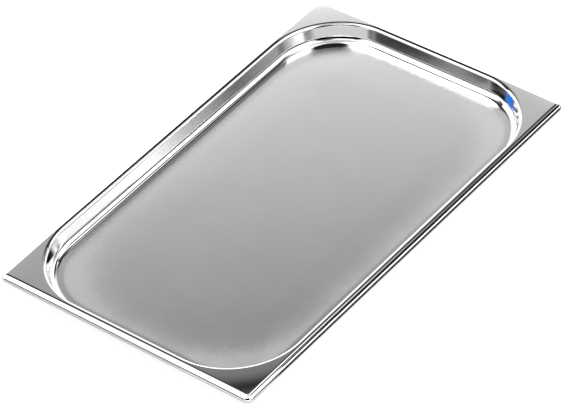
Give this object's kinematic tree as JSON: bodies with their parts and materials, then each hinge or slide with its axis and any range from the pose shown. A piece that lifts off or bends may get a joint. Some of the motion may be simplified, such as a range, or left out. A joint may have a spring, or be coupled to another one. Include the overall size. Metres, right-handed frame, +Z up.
{
  "type": "food pan",
  "caption": "Shallow rectangular food pan drawn from one stainless steel sheet, with a rounded well, a narrow flange and a turned-down rim that hangs in a counter opening or rack.",
  "frame": {"origin": "centre of the underside of the floor, the face the pan rests on", "axes": "+X along the long side, +Y along the short side, +Z up out of the well"},
  "size_m": [0.53, 0.325, 0.02],
  "materials": {
    "stainless": "satin floor and flange, brighter drawn wall and bends"
  },
  "bodies": {
    "root": {"pan": "stainless"}
  },
  "joints": []
}
